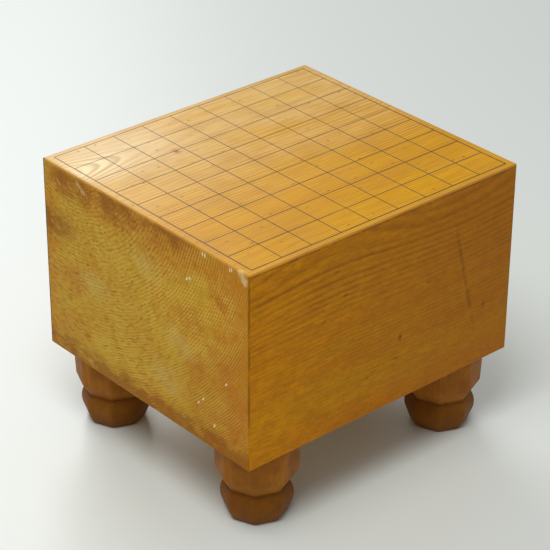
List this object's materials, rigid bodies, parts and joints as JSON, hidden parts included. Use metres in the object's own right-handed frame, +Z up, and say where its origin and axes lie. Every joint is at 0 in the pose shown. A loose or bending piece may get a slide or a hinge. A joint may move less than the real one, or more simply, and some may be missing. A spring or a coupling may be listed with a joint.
{
  "type": "legged shogi board",
  "caption": "Thick wooden block on carved octagonal legs, with a grid of raised lacquer lines on its top: a floor-standing board for playing shogi.",
  "frame": {"origin": "on the floor, under the middle of the board", "axes": "+Z up; +Y along the board's length and the wood's grain, from the front player to the back player; +X across the board, to the front player's right"},
  "size_m": [0.333, 0.369, 0.3171],
  "materials": {
    "block_wood": "amber varnish on straight-grained softwood, semi-gloss, worn pale on the front end's upper edge",
    "leg_wood": "red-brown stained wood, satin",
    "line_lacquer": "brown-black lacquer, slightly raised, soft gloss"
  },
  "bodies": {
    "root": {"board_block": "block_wood", "lacquer_grid": "line_lacquer", "leg_front_left": "leg_wood", "leg_front_right": "leg_wood", "leg_back_left": "leg_wood", "leg_back_right": "leg_wood"}
  },
  "joints": []
}
